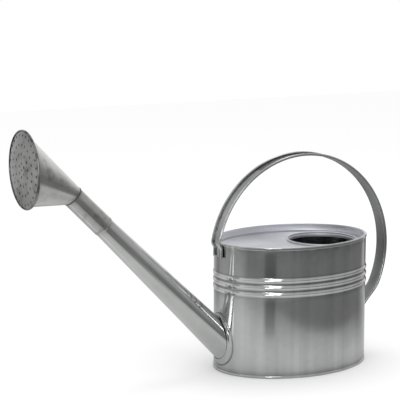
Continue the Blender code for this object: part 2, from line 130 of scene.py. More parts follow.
# Rose
NECK_ALONG = 379.2
SLEEVE_LENGTH = 76.0
HEM_LENGTH = 4.0
NECK_RADIUS = 17.7
ROSE_SHEET = 0.7
SEAM_GAP = 0.05  # hairline between two pieces of the rose that meet end to end
FACE_RADIUS = (ROSE_RIM_HIGH.z - ROSE_RIM_LOW.z) / 2
FACE_X = -491.5
FACE_Z = (ROSE_RIM_HIGH.z + ROSE_RIM_LOW.z) / 2
FACE_DOME = FACE_X - (FACE_LOW.x - TANK_X)
ROSE_LIP = 2.0  # how far the rim reaches in over the face
ROSE_HEM = 3.6  # width of the cone's flat hem
FACE_SEGMENTS = 128
FIRST_RING = 11.0  # radius of the innermost ring of spray holes
RING_PITCH = 14.8
RINGS = 4
FIRST_COUNT = 6  # holes in the innermost ring
COUNT_STEP = 7  # holes that each further ring adds
HOLE_RADIUS = 1.1
HOLE_SEGMENTS = 14
BURR_RADIUS = 2.4  # how far from its centre a punched hole lifts the face
BURR_LIFT = 0.25
FACE_MESH = 2.6  # distance between the points that fill the face

# Handle
HOOP_X = 20.7
HOOP_Z = 195.6
HOOP_RADIUS = STRAP_HIGH.z - HOOP_Z
STRAP_WIDTH = STRAP_HIGH.y - STRAP_LOW.y
STRAP_DEPTH = 4.6
HOOP_SEGMENTS = 180
HOOP_TUCK = 45  # degrees that the strap's rolled edges carry on round under its web
TAB_STATIONS = 18  # stations at each end that have no tuck
TUCK_STATIONS = 14  # stations over which the tuck grows from nothing
FRONT_PULL = 5.0  # how stiffly the strap bends, at each end of a bend
REAR_BEND_PULL = 18.0
REAR_TAB_PULL = 14.0
FRONT_BEND_Z = 226.0
FRONT_TAB_TOP = 214.0
FRONT_TAB_END = 201.0
REAR_BEND_X = 175.0
REAR_TAB_TOP = 80.0
REAR_TAB_END = 52.0
FRONT_RIVETS = (211.4, 204.6)
REAR_RIVETS = (71.0, 60.0)
RIVET_RADIUS = 1.6
RIVET_HEAD_RADIUS = 2.9
RIVET_HEAD = 1.3
RIVET_SEGMENTS = 28

UP = Vector((0, 0, 1))
SIDE = Vector((0, 1, 0))
SPOUT_DIRECTION = Vector((-1, 0, 1)).normalized()
SPOUT_UPWARD = Vector((1, 0, 1)).normalized()
SPOUT_START = Vector((-HALF_LENGTH, 0, SPOUT_WALL_Z))
HOOP_CENTRE = Vector((HOOP_X, 0, HOOP_Z))


# -------- mesh helpers

def skin(loops, ends="joined"):
    """A surface through closed loops of equally many points, with joined, capped or open ends."""
    bm = bmesh.new()
    rings = [[bm.verts.new(point) for point in loop] for loop in loops]
    pairs = list(zip(rings, rings[1:]))
    if ends == "joined":
        pairs.append((rings[-1], rings[0]))
    for lower, upper in pairs:
        count = len(lower)
        for i in range(count):
            j = (i + 1) % count
            bm.faces.new((lower[i], lower[j], upper[j], upper[i]))
    if ends == "capped":
        bm.faces.new(rings[0])
        bm.faces.new(list(reversed(rings[-1])))
    return bm


def frame_mesh(name, bm):
    """A mesh in the frame's metres from a closed shape drawn in millimetres."""
    bmesh.ops.recalc_face_normals(bm, faces=bm.faces)
    bm.transform(Matrix.Scale(MM, 4) @ Matrix.Translation((TANK_X, 0, 0)))
    mesh = bpy.data.meshes.new(name)
    bm.to_mesh(mesh)
    bm.free()
    return mesh


def make_piece(name, bm, node, material, grime_and_shade=None, sharp=35):
    """A finished piece: in metres, smooth, riding on its node's body and standing for the node.

    The value given for each point darkens it, partly as grime and partly as painted shade; below zero
    the point is painted brighter than the sheet."""
    grime_and_shade_values = [grime_and_shade(v.co) if grime_and_shade else 0.0 for v in bm.verts]
    mesh = frame_mesh(name, bm)
    mesh.attributes.new("grime_and_shade", "FLOAT", "POINT").data.foreach_set("value", grime_and_shade_values)
    mesh.shade_smooth()
    mesh.set_sharp_from_angle(angle=math.radians(sharp))
    mesh.materials.append(material)
    thing = bpy.data.objects.new(name, mesh)
    bpy.context.scene.collection.objects.link(thing)
    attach(thing, frame["nodes"][node]["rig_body"])
    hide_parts(node)
    return thing


def cut_out(piece, bm):
    """Take a closed shape, drawn in millimetres, out of a piece for good."""
    cutter = bpy.data.objects.new("cutter", frame_mesh("cutter", bm))
    bpy.context.scene.collection.objects.link(cutter)
    boolean = piece.modifiers.new("cut", "BOOLEAN")
    boolean.operation = "DIFFERENCE"
    boolean.solver = "EXACT"
    boolean.object = cutter
    bpy.context.view_layer.update()
    evaluated = piece.evaluated_get(bpy.context.evaluated_depsgraph_get())
    result = bpy.data.meshes.new_from_object(evaluated)
    piece.modifiers.remove(boolean)
    piece.data = result
    bpy.data.objects.remove(cutter)


def turns(count):
    """Equally spaced angles all the way round, in radians."""
    return [2 * math.pi * i / count for i in range(count)]


def steps(low, high, count):
    """Values from low to high in equal steps, both ends included."""
    return [low + (high - low) * i / count for i in range(count + 1)]


def mix(a, b, share):
    """A blend of two numbers or points: the first at share 0, the second at share 1."""
    return a * (1 - share) + b * share


def held(value):
    """A value kept between 0 and 1."""
    return max(0, min(1, value))


def arc(centre, radius, start, end, count):
    """Points (across, up) of an arc, its angles in degrees."""
    angles = [math.radians(a) for a in steps(start, end, count)]
    return [(centre[0] + radius * math.cos(a), centre[1] + radius * math.sin(a)) for a in angles]


def circle(centre, upward, radius, segments):
    """A circle across the can, in the plane of an upward direction and the side."""
    return [
        centre + upward * radius * math.cos(turn) + SIDE * radius * math.sin(turn)
        for turn in turns(segments)
    ]


def soft_noise(point, size):
    """Smooth noise from -1 to 1 with features of about a size in millimetres."""
    return noise.noise(point / size)


# -------- tank

RIPPLE_COUNTS = (9, 14, 22, 31, 43, 58, 74)  # waves round the tank
RIPPLE_DEPTH = 1.1  # depth of a wave, times its count
RIPPLE_LEAN = 0.004  # how fast a wave's phase drifts with height
RIPPLE_SOURCE = random.Random(11)
RIPPLES = [
    (count, RIPPLE_SOURCE.uniform(0.5, 1.0) * RIPPLE_DEPTH / count, RIPPLE_SOURCE.uniform(0, 6.3))
    for count in RIPPLE_COUNTS
]


def ripple(turn, z):
    """How far the rolled sheet waves inwards at a place: long upright hollows, never proud."""
    total = 0
    for count, depth, phase in RIPPLES:
        total += depth * (1 + math.sin(count * turn + phase + RIPPLE_LEAN * z * math.sin(phase)))
    return total / 2


def oval_point(inset, z, turn):
    """A point of the tank's oval, moved in from the wall's outer face."""
    return Vector(((HALF_LENGTH - inset) * math.cos(turn), (HALF_WIDTH - inset) * math.sin(turn), z))


def oval(inset, z):
    """A level loop round the tank."""
    return [oval_point(inset, z, turn) for turn in turns(OVAL_SEGMENTS)]


def bead(z):
    """How far the wall stands out at a height."""
    proud = 0
    for height in BEAD_HEIGHTS:
        away = abs(z - height) / BEAD_HALF_HEIGHT
        if away < 1:
            proud += BEAD_PROUD * (0.5 + 0.5 * math.cos(math.pi * away))
    return proud


def lap(turn):
    """The seam where the wall's two ends overlap: a step down on one side that fades away."""
    past = turn - LAP_TURN
    if 0 <= past < LAP_BLEND:
        return LAP_STEP * (1 - past / LAP_BLEND) ** 2
    return 0


def build_wall(material):
    """The oval wall with its three beads, slightly wavy, with the hole for the spout."""
    bottom = BASE_RIM_HIGH.z - GAP
    top = TOP_RIM_LOW.z + GAP
    heights = steps(bottom, BEAD_HEIGHTS[0] - BEAD_HALF_HEIGHT, 16)
    for height in BEAD_HEIGHTS:
        heights += steps(height - BEAD_HALF_HEIGHT, height + BEAD_HALF_HEIGHT, 14)
        heights.append(height + BEAD_HALF_HEIGHT + 1)
    heights += steps(BEAD_HEIGHTS[-1] + BEAD_HALF_HEIGHT + 3, top, 6)
    heights = sorted(set(round(z, 3) for z in heights))

    def ring(extra, z):
        """A loop round the wall, further in by an extra inset."""
        fade = min(1, (z - bottom) / RIPPLE_FADE, (top - z) / RIPPLE_FADE)
        points = []
        for turn in turns(OVAL_SEGMENTS):
            inset = extra - bead(z) + fade * ripple(turn, z) + lap(turn)
            points.append(oval_point(inset, z, turn))
        return points

    outside = [ring(0, z) for z in heights]
    inside = [ring(SHEET, z) for z in reversed(heights)]

    crease_width = 1.3

    def grime_and_shade(point):
        """Painted shade over the foot, in patches under the top rim and in the beads' creases; painted
        highlight on the bead crests.
        """
        low = math.exp(-(point.z - bottom) / 5)
        high = math.exp(-(top - point.z) / 10) * (0.85 + 0.8 * soft_noise(point, 9))
        creases = 0
        for height in BEAD_HEIGHTS:
            for edge in (height - BEAD_HALF_HEIGHT, height + BEAD_HALF_HEIGHT):
                creases += math.exp(-(((point.z - edge) / crease_width) ** 2))
        crests = (bead(point.z) / BEAD_PROUD) ** 2
        return min(1, low + 0.8 * high + 0.8 * creases - 0.6 * crests)

    wall = make_piece("tank_wall_skin", skin(outside + inside), "tank_wall", material, grime_and_shade)
    hole = [spout_ring(along, SPOUT_ROOT_RADIUS - SHEET) for along in (-ROOT_BURIED, ROOT_BURIED)]
    cut_out(wall, skin(hole, "capped"))


def rounded_box(low, high, corner):
    """Section of a rolled rim between two corners given as (inset, z)."""
    return (
        arc((high[0] - corner, high[1] - corner), corner, 0, 90, 5)
        + arc((low[0] + corner, high[1] - corner), corner, 90, 180, 5)
        + arc((low[0] + corner, low[1] + corner), corner, 180, 270, 5)
        + arc((high[0] - corner, low[1] + corner), corner, 270, 360, 5)
    )


def build_rims(material):
    """The two rolled rims of the tank."""
    for name, node, low, high in (
        ("top_rim_roll", "top_rim", TOP_RIM_LOW.z, TOP_RIM_HIGH.z),
        ("base_rim_roll", "base_rim", BASE_RIM_LOW.z, BASE_RIM_HIGH.z),
    ):
        section = rounded_box((-RIM_PROUD, low), (RIM_DEPTH - RIM_PROUD, high), RIM_ROUNDING)
        loops = [oval(inset, z) for inset, z in section]
        make_piece(name, skin(loops), node, material)


def build_bottom(material):
    """The pan that closes the tank from below."""
    skirt = RIM_DEPTH - RIM_PROUD + GAP
    low = PLATE_LOW.z
    floor = PLATE_HIGH.z - SHEET
    flat = 40.0
    hollow = 0.3
    bend = 0.6
    under = [(skirt + SHEET + share * flat, floor + share * hollow) for share in (1, 0.5, 0.05)]
    over = [(skirt + share * flat, floor + SHEET) for share in (0.05, 0.5, 1)]
    section = [*under, (skirt + SHEET, floor - bend), (skirt + SHEET, low), (skirt, low), *over]
    bm = skin([oval(inset, z) for inset, z in section], "capped")
    make_piece("bottom_pan", bm, "bottom_plate", material)


def fill_circle(radius, z):
    """A level loop round the middle of the filling hole."""
    return [
        Vector((FILL_CENTRE + radius * math.cos(turn), radius * math.sin(turn), z))
        for turn in turns(OVAL_SEGMENTS)
    ]


def build_deck(material):
    """The sunk deck: countersink wall, rounded corner, uneven plate and turned-down hole."""
    rim = RIM_DEPTH - RIM_PROUD + GAP
    top = TANK_HEIGHT - GAP
    hole = FILL_RADIUS

    def surface(lower):
        """Loops of one face, from the rim to the hole's turned-down edge."""
        face = 0 if lower else SHEET
        drop = SHEET if lower else 0
        loops = [oval(rim + face, z) for z in steps(top, DECK_Z + DECK_CORNER, 4)]
        bend = arc((rim + face + DECK_CORNER, DECK_Z - drop + DECK_CORNER), DECK_CORNER, 180, 270, 6)
        loops += [oval(inset, z) for inset, z in bend[1:]]
        outer = oval(rim + face + DECK_CORNER, DECK_Z - drop)
        inner = fill_circle(hole + 2 * SHEET, DECK_Z - drop)
        for share in steps(0, 1, 18)[1:]:
            loop = []
            for a, b in zip(outer, inner):
                point = mix(a, b, share)
                point.z += DECK_WAVE * math.sin(math.pi * share) * soft_noise(point, 45)
                loop.append(point)
            loops.append(loop)
        bend = arc((hole + 2 * SHEET, DECK_Z - 2 * SHEET), 2 * SHEET - drop, 90, 180, 5)
        loops += [fill_circle(radius, z) for radius, z in bend[1:]]
        loops.append(fill_circle(hole + drop, DECK_Z - FILL_FLANGE))
        return loops

    loops = surface(False) + list(reversed(surface(True)))

    flat_length = HALF_LENGTH - rim - DECK_CORNER
    flat_width = HALF_WIDTH - rim - DECK_CORNER
    corner_top = DECK_Z + DECK_CORNER - 0.1
    narrowness = 22

    def grime_and_shade(point):
        """Painted highlight on the countersink wall, over painted shade in the corner."""
        if point.z > corner_top:
            return -0.4
        edge = math.hypot(point.x / flat_length, point.y / flat_width)
        return max(0, 1 - abs(1 - edge) * narrowness) if point.z > DECK_Z else 0

    make_piece("deck_plate", skin(loops), "top_plate", material, grime_and_shade)


def build_fill_lip(material):
    """The rolled ring on the edge of the filling hole."""
    middle = (LIP_HIGH.y - LIP_LOW.y) / 2 - LIP_RADIUS
    height = (LIP_LOW.z + LIP_HIGH.z) / 2 - 0.2
    loops = [
        fill_circle(middle + LIP_RADIUS * math.cos(turn), height + LIP_RADIUS * math.sin(turn))
        for turn in turns(16)
    ]
    make_piece("fill_lip_roll", skin(loops), "fill_lip", material)


# -------- spout

def spout_ring(along, radius, segments=SPOUT_SEGMENTS):
    """A circle square to the spout's axis, at a distance from the wall."""
    return circle(SPOUT_START + SPOUT_DIRECTION * along, SPOUT_UPWARD, radius, segments)


def spout_along(point):
    """How far along the spout's axis a point lies."""
    return (point - SPOUT_START).dot(SPOUT_DIRECTION)


def spout_radius(along):
    """The cone's outer radius at a distance from the wall."""
    return SPOUT_ROOT_RADIUS - SPOUT_TAPER * along


def wall_x(y, proud):
    """Where the front wall stands at a distance from the middle, moved out by a margin."""
    return -(HALF_LENGTH + proud) * math.sqrt(1 - (y / (HALF_WIDTH + proud)) ** 2)


def wall_ring(up, side, proud, lift=0):
    """The outline that an oval tube along the spout leaves on the front wall."""
    points = []
    for turn in turns(SPOUT_SEGMENTS):
        point = SPOUT_START + SPOUT_UPWARD * up * math.cos(turn) + SIDE * side * math.sin(turn)
        reach = (wall_x(point.y, proud) - point.x) / SPOUT_DIRECTION.x
        points.append(point + SPOUT_DIRECTION * (reach + lift))
    return points


def cone_root(inset):
    """Where each line of the spout's cone meets the wall, with a small gap."""
    ends = [spout_ring(end, spout_radius(end) - inset) for end in (-ROOT_BURIED, ROOT_BURIED)]
    halvings = 30
    points = []
    for near, far in zip(*ends):
        low, high = 0, 1
        for _ in range(halvings):
            middle = (low + high) / 2
            point = mix(near, far, middle)
            if point.x > wall_x(point.y, GAP):
                low = middle
            else:
                high = middle
        points.append(mix(near, far, high))
    return points


def build_spout(material):
    """The long cone, a little out of true, from the wall to its mouth inside the sleeve."""
    unevenness = 0.35

    def surface(inset):
        """Loops of the outer or the inner face."""
        root = cone_root(inset)
        mouth = spout_ring(SPOUT_LENGTH, spout_radius(SPOUT_LENGTH) - inset)
        loops = []
        for share in steps(0, 1, 70):
            swell = unevenness * math.sin(math.pi * share)
            loop = []
            for i, (a, b) in enumerate(zip(root, mouth)):
                point = mix(a, b, share)
                centre = SPOUT_START + SPOUT_DIRECTION * spout_along(point)
                out = (point - centre).normalized()
                turn = 2 * math.pi * i / SPOUT_SEGMENTS
                wave = 0.25 * soft_noise(Vector((share * 5, math.cos(turn), math.sin(turn))), 1)
                loop.append(point + out * swell * wave)
            loops.append(loop)
        return loops

    loops = surface(0) + list(reversed(surface(SHEET)))

    def grime_and_shade(point):
        """Painted shade at and below the sleeve's mouth."""
        return 0.6 * math.exp(-max(0, sleeve_start() - spout_along(point)) / 3)

    make_piece("spout_cone", skin(loops), "spout_tube", material, grime_and_shade)


def build_collar(material, solder):
    """The flanged collar at the spout's root, and the uneven solder round it.

    The bore clears the cone at its widest, below the axis inside the collar."""
    bore = spout_radius(-1.1 * SPOUT_ROOT_RADIUS) + GAP
    top = GAP + SHEET
    round_off = 0.3
    neck = [
        (SHEET + 2.2, 0),
        (SHEET + 1.2, 0.3),
        (SHEET + 0.5, 0.9),
        (SHEET + 0.15, 1.9),
        (SHEET, COLLAR_HEIGHT - 0.6),
        (SHEET - 0.25, COLLAR_HEIGHT - 0.1),
        (0.2, COLLAR_HEIGHT),
        (0, COLLAR_HEIGHT - 0.4),
    ]
    loops = [
        wall_ring(bore, bore, GAP),
        wall_ring(COLLAR_FLANGE_UP - round_off, COLLAR_FLANGE_SIDE - round_off, GAP),
        wall_ring(COLLAR_FLANGE_UP, COLLAR_FLANGE_SIDE, GAP + round_off),
        wall_ring(COLLAR_FLANGE_UP - round_off, COLLAR_FLANGE_SIDE - round_off, top),
    ]
    loops += [wall_ring(bore + out, bore + out, top, lift) for out, lift in neck]

    def grime_and_shade(point):
        """A light, patchy film."""
        return 0.1 + 0.3 * soft_noise(point, 6)

    make_piece("spout_collar_flange", skin(loops), "spout_collar", material, grime_and_shade)

    up = COLLAR_FLANGE_UP + GAP / 2
    side = COLLAR_FLANGE_SIDE + GAP / 2
    fillet = [(0, GAP / 2), (1, GAP / 2), (0.7, 0.45 * top), (0.3, 0.8 * top), (0, top)]
    loops = []
    for share, proud in fillet:
        out = share * SOLDER_WIDTH
        ring = wall_ring(up + out, side + out, proud)
        loops.append([point + SPOUT_DIRECTION * 0.2 * soft_noise(point, 4) for point in ring])
    make_piece("spout_solder_bead", skin(loops), "spout_solder", solder)


# -------- rose

def sleeve_start():
    """Where the sleeve's mouth lies along the spout."""
    return NECK_ALONG - SLEEVE_LENGTH


def sleeve_bore(along):
    """The sleeve's inner radius, from its mouth to the rose's neck."""
    mouth = spout_radius(sleeve_start()) + GAP
    neck = NECK_RADIUS - ROSE_SHEET
    return mouth + (neck - mouth) * (along - sleeve_start()) / SLEEVE_LENGTH


def build_sleeve(material, solder):
    """The slip-on sleeve with the rolled hem at its mouth, and the solder at the neck."""
    start = sleeve_start()
    thick = 1.15 * ROSE_SHEET
    section = [
        (0, 0.0),
        (0, thick - 0.3),
        (0.1, thick - 0.1),
        (0.3, thick),
        (HEM_LENGTH - 0.5, thick),
        (HEM_LENGTH, ROSE_SHEET),
        (HEM_LENGTH, 0.0),
    ]
    loops = [spout_ring(start + along, sleeve_bore(start + along) + out) for along, out in section]
    make_piece("rose_sleeve_hem", skin(loops), "rose_hem", material)

    body = steps(start + HEM_LENGTH + SEAM_GAP, NECK_ALONG, 16)
    outside = [spout_ring(along, sleeve_bore(along) + ROSE_SHEET) for along in body]
    inside = [spout_ring(along, sleeve_bore(along)) for along in reversed(body)]

    def grime_and_shade(point):
        """Painted shade at the hem's edge and at the soldered neck."""
        along = spout_along(point)
        return 0.4 * math.exp(-(along - body[0]) / 1.5) + math.exp(-(NECK_ALONG - along) / 3)

    make_piece("rose_sleeve_tube", skin(outside + inside), "rose_sleeve", material, grime_and_shade)

    joint = NECK_RADIUS + SEAM_GAP
    section = [(-1.4, 0), (-0.9, 0.45), (-0.1, 0.75), (0.6, 0.8), (1.0, 0.5), (1.1, 0)]
    back = -section[0][0]
    loops = []
    for along, out in section:
        ring = spout_ring(NECK_ALONG + along * SOLDER_WIDTH / back, joint + out)
        loops.append([point + SPOUT_DIRECTION * 0.35 * soft_noise(point, 5) for point in ring])

    def patchy_darkening(point):
        """Darker all over, in patches."""
        return 1 + 0.6 * soft_noise(point, 7)

    make_piece("rose_neck_bead", skin(loops), "rose_neck_solder", solder, patchy_darkening)


def face_ring(radius, forward):
    """An upright circle round the middle of the rose's face."""
    return circle(Vector((FACE_X - forward, 0, FACE_Z)), UP, radius, FACE_SEGMENTS)


def dome_forward(radius):
    """How far the domed face stands forward at a radius."""
    return FACE_DOME * (1 - (radius / FACE_RADIUS) ** 3)


def build_cone(material):
    """The oblique cone, with the flat hem that the rim folds round."""
    edge = FACE_RADIUS - ROSE_SHEET - GAP
    front = -ROSE_SHEET - GAP
    start = NECK_ALONG + SEAM_GAP
    neck = spout_ring(start, NECK_RADIUS, FACE_SEGMENTS)
    neck_inside = spout_ring(start, NECK_RADIUS - ROSE_SHEET, FACE_SEGMENTS)
    wide = face_ring(edge - ROSE_HEM, front - ROSE_SHEET)
    wide_inside = face_ring(edge - ROSE_HEM - ROSE_SHEET, front)
    dent_depth = 0.2

    def surface(first, last):
        """Loops between two ends, dented a little inwards between them."""
        loops = []
        for share in steps(0, 1, 36):
            loop = []
            for a, b in zip(first, last):
                point = mix(a, b, share)
                dent = dent_depth * math.sin(math.pi * share) * (soft_noise(point, 38) - 0.6)
                loop.append(point + (point - Vector((point.x, 0, FACE_Z))).normalized() * dent)
            loops.append(loop)
        return loops

    loops = surface(neck, wide)
    loops += [face_ring(edge, front - ROSE_SHEET), face_ring(edge, front)]
    loops += list(reversed(surface(neck_inside, wide_inside)))

    reach = 4

    def grime_and_shade(point):
        """Painted shade beside the neck's solder and behind the rim."""
        past_neck = max(0, spout_along(point) - start)
        behind_rim = max(0, point.x - FACE_X)
        return min(1, math.exp(-past_neck / reach) + math.exp(-behind_rim / reach))

    make_piece("rose_cone_shell", skin(loops), "rose_cone", material, grime_and_shade)


def hole_places():
    """Centres (across, up) of the spray holes: a middle hole and four rings."""
    places = [Vector((0, 0))]
    for ring in range(RINGS):
        radius = FIRST_RING + RING_PITCH * ring
        for turn in turns(FIRST_COUNT + COUNT_STEP * ring):
            places.append(Vector((radius * math.sin(turn), radius * math.cos(turn))))
    return places


def build_face(material):
    """The perforated face: a fine disc with punched holes that stand up a little at their edges."""
    holes = hole_places()
    edge = FACE_RADIUS - ROSE_SHEET - GAP
    points = []
    edges = []

    def from_hole(flat):
        """Distance to the centre of the nearest hole."""
        return min((flat - hole).length for hole in holes)

    def add_loop(centre, radius, count):
        """A circle whose edges the triangles must keep."""
        first = len(points)
        for turn in turns(count):
            points.append(centre + Vector((radius * math.sin(turn), radius * math.cos(turn))))
        edges.extend((first + i, first + (i + 1) % count) for i in range(count))

    add_loop(Vector((0, 0)), edge, FACE_SEGMENTS)
    for hole in holes:
        add_loop(hole, HOLE_RADIUS, HOLE_SEGMENTS)
        add_loop(hole, (HOLE_RADIUS + BURR_RADIUS) / 2, HOLE_SEGMENTS)
    for radius in steps(3, edge - 1.5, 22):
        for turn in turns(round(2 * math.pi * radius / FACE_MESH)):
            point = Vector((radius * math.sin(turn), radius * math.cos(turn)))
            if from_hole(point) > BURR_RADIUS:
                points.append(point)
    found, _, triangles, _, _, _ = geometry.delaunay_2d_cdt(points, edges, [], 1, 0.001)

    def place(flat, back):
        """A flat point (across, up) set on the dome, raised beside a hole."""
        raised = BURR_LIFT * held((BURR_RADIUS - from_hole(flat)) / (BURR_RADIUS - HOLE_RADIUS)) ** 2
        forward = dome_forward(flat.length) - BURR_LIFT + raised - back
        return Vector((FACE_X - forward, flat.x, FACE_Z + flat.y))

    bm = bmesh.new()
    front = [bm.verts.new(place(flat, 0)) for flat in found]
    rear = [bm.verts.new(place(flat, ROSE_SHEET)) for flat in found]
    used = {}  # edges of the kept triangles, in order; one without its reverse is on a border
    for triangle in triangles:
        middle = (found[triangle[0]] + found[triangle[1]] + found[triangle[2]]) / 3
        if from_hole(middle) < HOLE_RADIUS:
            continue
        bm.faces.new([front[i] for i in triangle])
        bm.faces.new([rear[i] for i in reversed(triangle)])
        for i in range(3):
            used[(triangle[i], triangle[(i + 1) % 3])] = True
    for a, b in used:
        if (b, a) not in used:
            bm.faces.new((front[b], front[a], rear[a], rear[b]))
    loose = [v for v in bm.verts if not v.link_faces]
    bmesh.ops.delete(bm, geom=loose, context="VERTS")

    halo = BURR_RADIUS - HOLE_RADIUS

    def grime_and_shade(point):
        """Painted shade round the holes, and a few smudges."""
        near = from_hole(Vector((point.y, point.z - FACE_Z)))
        smudge = max(0, soft_noise(point, 26)) + max(0, soft_noise(point, 9) - 0.2)
        return 1.6 * max(0, 1 - (near - HOLE_RADIUS) / halo) + 0.5 * smudge

    make_piece("rose_face_plate", bm, "rose_face", material, grime_and_shade)


def build_rose_rim(material):
    """The crimped ring that grips the edges of the cone and of the face."""
    inner = FACE_RADIUS - ROSE_SHEET
    lip = inner - ROSE_LIP
    hem = inner - ROSE_HEM
    front = dome_forward(lip) + GAP
    back = -2 * (ROSE_SHEET + GAP)
    middle = (front + back) / 2
    half = (front - back) / 2 + ROSE_SHEET
    round_off = 1.6
    section = [(hem, back), (hem, back - 0.5 * ROSE_SHEET), (hem + 0.5, back - ROSE_SHEET)]
    for angle in steps(-75, 75, 10):
        turn = math.radians(angle)
        across = FACE_RADIUS - round_off + round_off * math.cos(turn)
        section.append((across, middle + half * math.sin(turn)))
    section += [(lip + 0.6, front + ROSE_SHEET), (lip, front + 0.6 * ROSE_SHEET), (lip, front - 0.25)]
    section += [(inner, dome_forward(inner) + GAP), (inner, back)]
    loops = [face_ring(radius, forward) for radius, forward in section]

    def grime_and_shade(point):
        """Darker all over, in patches."""
        return 1.1 + 0.4 * soft_noise(point, 9)

    make_piece("rose_rim_crimp", skin(loops), "rose_rim", material, grime_and_shade, sharp=50)


# -------- handle

def hoop_point(radius, z, side):
    """The point of a circle about the hoop's centre at a height, in front (-1) or behind (1)."""
    rise = z - HOOP_Z
    return HOOP_CENTRE + Vector((side * math.sqrt(radius ** 2 - rise ** 2), 0, rise))


def blend_curve(start, start_pull, end, end_pull, count):
    """Points between two places, leaving and arriving along the given pulls."""
    handles = (start + start_pull, end - end_pull)
    return geometry.interpolate_bezier(start, *handles, end, count + 1)[1:-1]


def strap_route():
    """The strap's inner face along its middle: front tab, hoop, rear tab."""
    inner = HOOP_RADIUS - STRAP_DEPTH
    face = HALF_LENGTH + GAP
    front_end = Vector((-face, 0, FRONT_TAB_END))
    front_top = Vector((-face, 0, FRONT_TAB_TOP))
    front_bend = hoop_point(inner, FRONT_BEND_Z, -1)
    rear_drop = -math.sqrt(inner ** 2 - (REAR_BEND_X - HOOP_X) ** 2)
    rear_bend = Vector((REAR_BEND_X, 0, HOOP_Z + rear_drop))
    rear_top = Vector((face, 0, REAR_TAB_TOP))
    rear_end = Vector((face, 0, REAR_TAB_END))
    first = math.atan2(front_bend.z - HOOP_Z, front_bend.x - HOOP_X)
    last = math.atan2(rear_bend.z - HOOP_Z, rear_bend.x - HOOP_X)
    hoop = [
        HOOP_CENTRE + Vector((math.cos(turn), 0, math.sin(turn))) * inner
        for turn in steps(first, last, HOOP_SEGMENTS)
    ]
    heading = Vector((math.sin(last), 0, -math.cos(last)))
    front_curve = blend_curve(front_top, UP * FRONT_PULL, front_bend, UP * FRONT_PULL, 12)
    rear_curve = blend_curve(rear_bend, heading * REAR_BEND_PULL, rear_top, -UP * REAR_TAB_PULL, 20)
    front_tab = [mix(front_end, front_top, share) for share in steps(0, 1, 5)]
    rear_tab = [mix(rear_top, rear_end, share) for share in steps(0, 1, 8)]
    return [*front_tab, *front_curve, *hoop, *rear_curve, *rear_tab]


def strap_lines(tuck):
    """The strap's section as two lines of points (across, outward), one sheet thickness apart.

    The tuck is how many degrees the rolled edges carry on round under the web."""
    outer = STRAP_DEPTH / 2
    roll = STRAP_WIDTH / 2 - outer

    def line(radius):
        """The web between two rolls of a radius."""
        right = arc((roll, outer), radius, -90 - tuck, 150, 28)
        left = [(-across, outward) for across, outward in reversed(right)]
        edge, height = right[0]
        web = steps(-edge, edge, 12)[1:-1]
        return left + [(across, height) for across in web] + right

    return line(outer), line(outer - SHEET)


def outward_along(route):
    """The direction away from the hoop's inside at each point of the route."""
    outward = []
    for i in range(len(route)):
        heading = (route[min(i + 1, len(route) - 1)] - route[max(i - 1, 0)]).normalized()
        outward.append(Vector((-heading.z, 0, heading.x)))
    return outward


def build_handle(material):
    """The hooped strap, one sheet with both edges rolled, more open at its two tabs."""
    route = strap_route()
    loops = []
    for number, (point, outward) in enumerate(zip(route, outward_along(route))):
        from_end = min(number, len(route) - 1 - number)
        tuck = HOOP_TUCK * held((from_end - TAB_STATIONS) / TUCK_STATIONS)
        face_line, back_line = strap_lines(tuck)
        section = face_line + list(reversed(back_line))
        loops.append([point + SIDE * across + outward * out for across, out in section])
    bm = skin(loops, "open")
    bm.verts.ensure_lookup_table()
    size = len(loops[0])
    half = size // 2
    for first, flip in ((0, False), (len(loops) - 1, True)):
        ring = [bm.verts[first * size + i] for i in range(size)]
        for i in range(half - 1):
            quad = (ring[i], ring[i + 1], ring[size - 2 - i], ring[size - 1 - i])
            bm.faces.new(quad if flip else tuple(reversed(quad)))

    inner = HOOP_RADIUS - STRAP_DEPTH
    web_half = STRAP_WIDTH / 2 - STRAP_DEPTH
    rear_fade = (-65, -25)
    front_end = 120

    def grime_and_shade(point):
        """Painted shade under the hoop from the rear bend to the front and in the web between the rolled
        edges, and a painted brightening on the front tab.

        Angles are in degrees about the hoop's centre, up from the rear."""
        from_centre = point - HOOP_CENTRE
        depth = math.hypot(from_centre.x, from_centre.z) - inner
        angle = math.degrees(math.atan2(from_centre.z, from_centre.x))
        web = 1 if abs(point.y) < web_half else 0
        under = held((2.2 - depth) / 0.8)
        under *= held((angle - rear_fade[0]) / (rear_fade[1] - rear_fade[0])) * (angle < front_end)
        tab = math.exp(-abs(point.z - FRONT_TAB_TOP) / 14) if point.x < 0 else 0
        return min(1, -0.9 * tab + under * (0.45 + 0.55 * web) + 0.2 * web * (depth > 0.5))

    make_piece("handle_hoop", bm, "handle_strap", material, grime_and_shade)


def build_rivets(material):
    """Four round-headed rivets through the tabs and the wall."""
    grip = 2 * GAP + SHEET
    head = arc((0, 0), 1, 80, 0, 7)
    section = [(RIVET_HEAD_RADIUS * across, grip + RIVET_HEAD * up) for across, up in head]
    section += [(RIVET_RADIUS, grip), (RIVET_RADIUS, -grip)]
    section += [(RIVET_HEAD_RADIUS, -grip), (RIVET_HEAD_RADIUS * 0.7, -grip - RIVET_HEAD)]
    for end, label, heights in ((-1, "front", FRONT_RIVETS), (1, "rear", REAR_RIVETS)):
        for number, height in enumerate(heights, 1):
            centre = Vector((end * HALF_LENGTH, 0, height))
            loops = []
            for radius, out in section:
                ring = arc((0, 0), radius, 0, 360, RIVET_SEGMENTS)[:-1]
                loops.append([centre + Vector((end * out, across, up)) for across, up in ring])
            node = f"handle_rivet_{label}_{number}"
            make_piece(f"rivet_{label}_{number}", skin(loops, "capped"), node, material)


# -------- shading helpers

def add_node(tree, kind, **settings):
    """A new node; a setting's underscores stand for the spaces in its input's name."""
    node = tree.nodes.new(kind)
    for name, value in settings.items():
        node.inputs[name.replace("_", " ")].default_value = value
    return node


